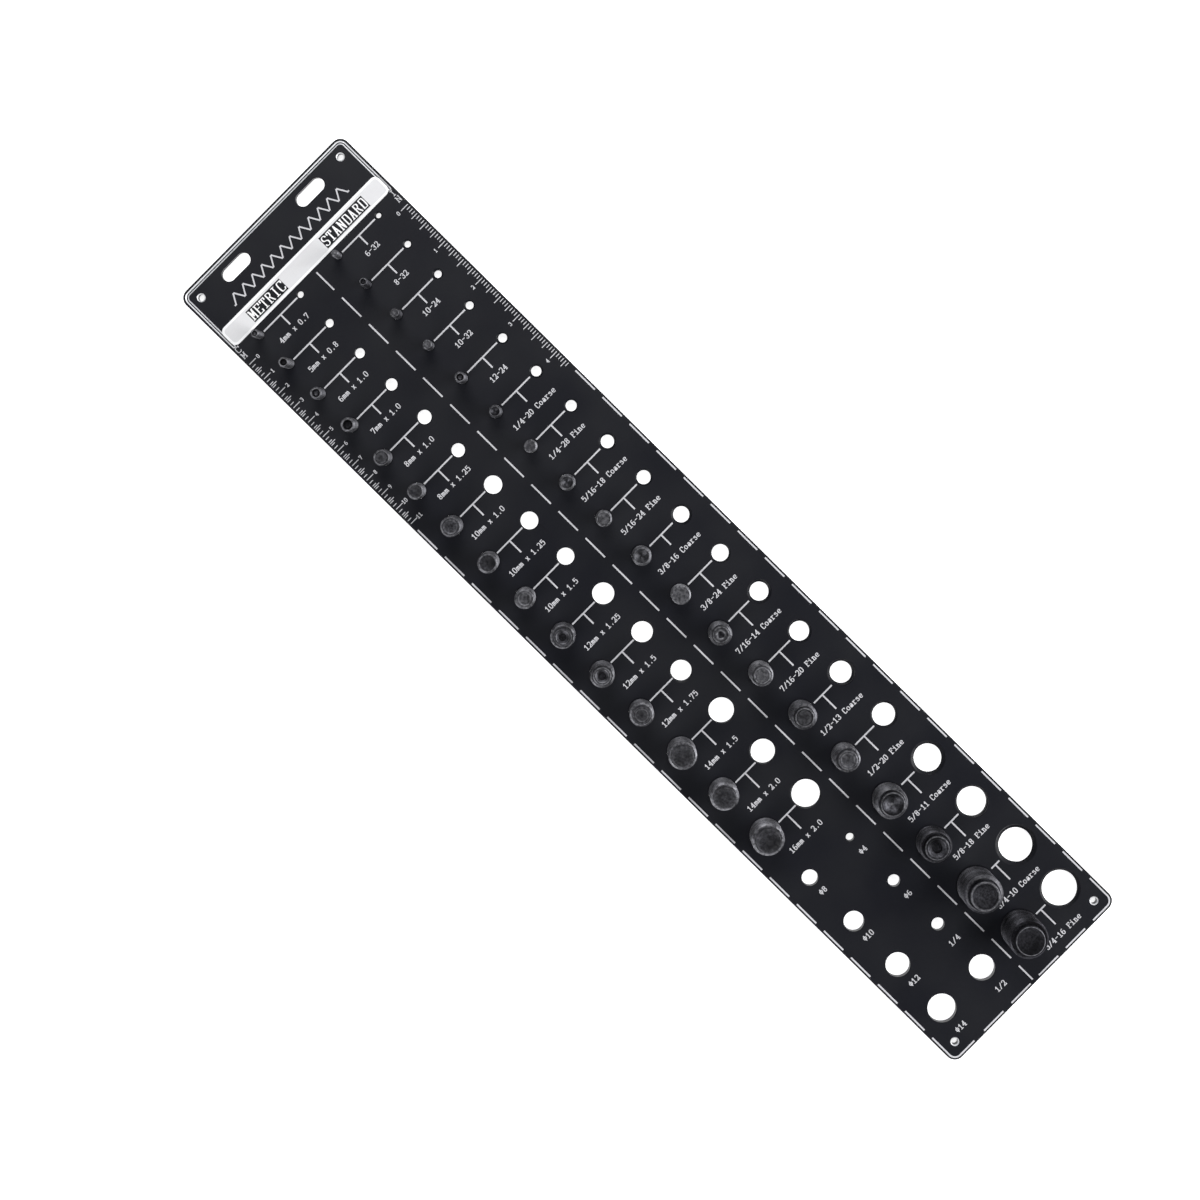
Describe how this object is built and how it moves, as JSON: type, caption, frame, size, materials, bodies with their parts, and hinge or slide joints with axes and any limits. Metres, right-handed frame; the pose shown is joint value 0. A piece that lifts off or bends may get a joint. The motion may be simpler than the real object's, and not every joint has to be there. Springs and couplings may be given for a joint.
{
  "type": "thread checker",
  "caption": "Flat gauge plate for finding a thread's size: a screw to try a nut on stands beside a tapped hole to try a bolt in, row by row.",
  "frame": {"origin": "centre of the plate's back face, which lies on the ground plane", "axes": "+X along the plate from its head, where the slots are, to its foot; +Y across it towards the inch threads; +Z out of the front, along the screws"},
  "size_m": [0.529, 0.1116, 0.0355],
  "materials": {
    "anodised_plate": "satin",
    "black_oxide_screw": "satin"
  },
  "bodies": {
    "root": {"plate": "anodised_plate", "screw_m4x0p7": "black_oxide_screw", "screw_m5x0p8": "black_oxide_screw", "screw_m6x1p0": "black_oxide_screw", "screw_m7x1p0": "black_oxide_screw", "screw_m8x1p0": "black_oxide_screw", "screw_m8x1p25": "black_oxide_screw", "screw_m10x1p0": "black_oxide_screw", "screw_m10x1p25": "black_oxide_screw", "screw_m10x1p5": "black_oxide_screw", "screw_m12x1p25": "black_oxide_screw", "screw_m12x1p5": "black_oxide_screw", "screw_m12x1p75": "black_oxide_screw", "screw_m14x1p5": "black_oxide_screw", "screw_m14x2p0": "black_oxide_screw", "screw_m16x2p0": "black_oxide_screw", "screw_no6_32unc": "black_oxide_screw", "screw_no8_32unc": "black_oxide_screw", "screw_no10_24unc": "black_oxide_screw", "screw_no10_32unf": "black_oxide_screw", "screw_no12_24unc": "black_oxide_screw", "screw_1_4_20unc": "black_oxide_screw", "screw_1_4_28unf": "black_oxide_screw", "screw_5_16_18unc": "black_oxide_screw", "screw_5_16_24unf": "black_oxide_screw", "screw_3_8_16unc": "black_oxide_screw", "screw_3_8_24unf": "black_oxide_screw", "screw_7_16_14unc": "black_oxide_screw", "screw_7_16_20unf": "black_oxide_screw", "screw_1_2_13unc": "black_oxide_screw", "screw_1_2_20unf": "black_oxide_screw", "screw_5_8_11unc": "black_oxide_screw", "screw_5_8_18unf": "black_oxide_screw", "screw_3_4_10unc": "black_oxide_screw", "screw_3_4_16unf": "black_oxide_screw"}
  },
  "joints": []
}
